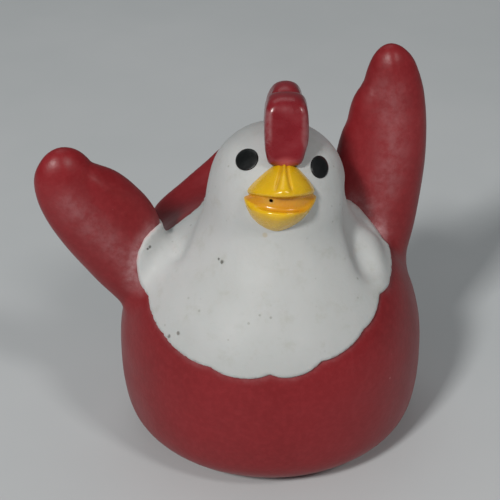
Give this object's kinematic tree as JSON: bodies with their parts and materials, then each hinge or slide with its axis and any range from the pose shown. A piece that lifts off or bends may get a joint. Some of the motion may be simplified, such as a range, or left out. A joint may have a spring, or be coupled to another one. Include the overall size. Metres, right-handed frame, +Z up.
{
  "type": "wind-up hopping chicken toy",
  "caption": "Squat vinyl chicken with raised wings, scalloped white cape, comb and beak over a clockwork motor that kicks two flat feet.",
  "frame": {"origin": "on the resting surface, under the vertical axis of the round body, in the sole of the strap that joins the feet", "axes": "+Z up; the breast and beak face -Y; tail and winding knob at +Y; the chicken's left side is +X"},
  "size_m": [0.0735, 0.0676, 0.0737],
  "materials": {
    "shell_red": "soft matt vinyl",
    "shell_white": "matt paint on vinyl",
    "comb_red": "gloss paint",
    "beak_yellow": "gloss paint",
    "eye_black": "gloss paint",
    "base_dark": "fine spark-eroded texture",
    "knob_white": "moulded",
    "foot_yellow": "moulded",
    "frame_plate": "stamped sheet",
    "steel": "drawn wire and turned",
    "spring_steel": "blued strip",
    "gear_white": "moulded acetal",
    "brass": "turned",
    "screw_zinc": "zinc plated"
  },
  "bodies": {
    "body": {"body_shell": "shell_red", "head_shell": "shell_white", "comb": "comb_red", "beak": "beak_yellow", "eye_left": "eye_black", "eye_right": "eye_black", "base_plate": "base_dark", "base_screws": "screw_zinc", "motor_plate_front": "frame_plate", "motor_plate_rear": "frame_plate", "plate_pillars": "steel", "plate_screws": "screw_zinc", "spring_post": "steel", "rear_grommet": "base_dark", "mainspring": "spring_steel", "foot_axle": "steel", "foot_spring": "spring_steel"},
    "main_wheel": {"main_gear": "gear_white", "click_rivet": "brass", "click_spring": "spring_steel"},
    "winder": {"winding_arbor": "steel", "winding_knob": "knob_white", "ratchet_wheel": "steel"},
    "click_pawl": {"click": "steel"},
    "intermediate": {"intermediate_arbor": "steel", "intermediate_pinion": "gear_white", "intermediate_gear": "gear_white"},
    "crank": {"crank_arbor": "steel", "crank_pinion": "gear_white", "crank_gear": "gear_white", "eccentric_cam": "gear_white"},
    "governor": {"governor_arbor": "steel", "governor_pinion": "brass", "governor_flywheel": "brass"},
    "feet": {"foot_left": "foot_yellow", "foot_right": "foot_yellow", "foot_lever": "foot_yellow", "sole_bridge": "foot_yellow"}
  },
  "joints": [
    {"name": "crank_turn", "type": "hinge", "parent": "body", "child": "crank", "pos_m": [0.0079, 0, 0.0143], "axis": [0, 1, 0], "range_deg": [0, 180]},
    {"name": "intermediate_turn", "type": "hinge", "parent": "body", "child": "intermediate", "pos_m": [0.006, 0, 0.02463], "axis": [0, 1, 0], "range_deg": [-57, 1]},
    {"name": "main_wheel_turn", "type": "hinge", "parent": "body", "child": "main_wheel", "pos_m": [-0.0035, 0, 0.0165], "axis": [0, 1, 0], "range_deg": [0, 14.5]},
    {"name": "governor_turn", "type": "hinge", "parent": "body", "child": "governor", "pos_m": [0.01726, 0, 0.01595], "axis": [0, 1, 0], "range_deg": [-680, 1]},
    {"name": "foot_kick", "type": "hinge", "parent": "body", "child": "feet", "pos_m": [0, 0.0045, 0.0058], "axis": [1, 0, 0], "range_deg": [0, 14.2], "deforming": ["foot_spring"]},
    {"name": "winding", "type": "hinge", "parent": "main_wheel", "child": "winder", "pos_m": [-0.0035, 0, 0.0165], "axis": [0, -1, 0], "continuous": true, "deforming": ["mainspring"]},
    {"name": "click_lift", "type": "hinge", "parent": "main_wheel", "child": "click_pawl", "pos_m": [0.0019, 0.00175, 0.0203], "axis": [0, 1, 0], "range_deg": [0, 10], "stiffness_Nm_per_rad": 0.00002, "springref_deg": -11.46, "deforming": ["click_spring"]}
  ],
  "couplings": [
    {"joint": "intermediate_turn", "follows": "crank_turn", "ratio": -0.3125},
    {"joint": "main_wheel_turn", "follows": "crank_turn", "ratio": 0.078125},
    {"joint": "governor_turn", "follows": "crank_turn", "ratio": -3.75},
    {"joint": "foot_kick", "follows": "crank_turn", "ratio": 0.077778}
  ]
}
